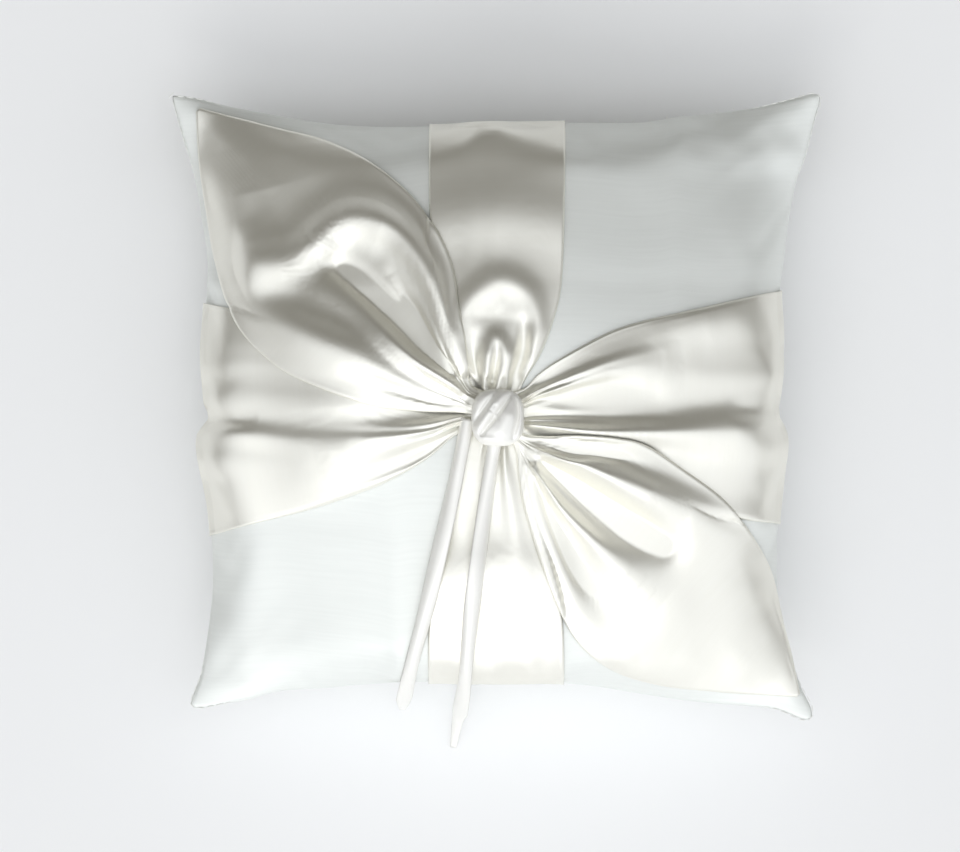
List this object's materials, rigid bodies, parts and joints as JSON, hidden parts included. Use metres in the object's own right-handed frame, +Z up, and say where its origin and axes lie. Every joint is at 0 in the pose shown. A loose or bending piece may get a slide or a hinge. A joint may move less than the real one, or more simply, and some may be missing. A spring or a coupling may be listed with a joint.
{
  "type": "ring bearer pillow",
  "caption": "Stuffed square satin pillow crossed by gathered bands and corner drapes under a knot, with narrow ribbon tails to tie rings on.",
  "frame": {"origin": "on the resting face, under the middle of the pillow's square outline", "axes": "+Z up through the pillow's thickness to the knot, +X across the pillow along the side sash, +Y away from the side that the ribbon tails hang over"},
  "size_m": [0.2032, 0.2092, 0.077],
  "materials": {
    "filling": "white polyester fibre stuffing",
    "panel_satin": "cool white satin, duller than the ribbon, with a faint weave across it",
    "ribbon_satin": "glossy warm ivory-white satin with soft folds",
    "narrow_ribbon": "glossy ivory-white satin ribbon, 6 mm wide",
    "thread": "white sewing thread"
  },
  "bodies": {
    "root": {"filling": "filling", "front_panel": "panel_satin", "back_panel": "panel_satin", "seam_thread": "thread", "closing_thread": "thread", "tack_thread": "thread", "vertical_band": "ribbon_satin", "side_sash": "ribbon_satin", "corner_drape_left": "ribbon_satin", "corner_drape_right": "ribbon_satin", "knot_wrap": "ribbon_satin", "ring_ribbon_left": "narrow_ribbon", "ring_ribbon_right": "narrow_ribbon"}
  },
  "joints": []
}
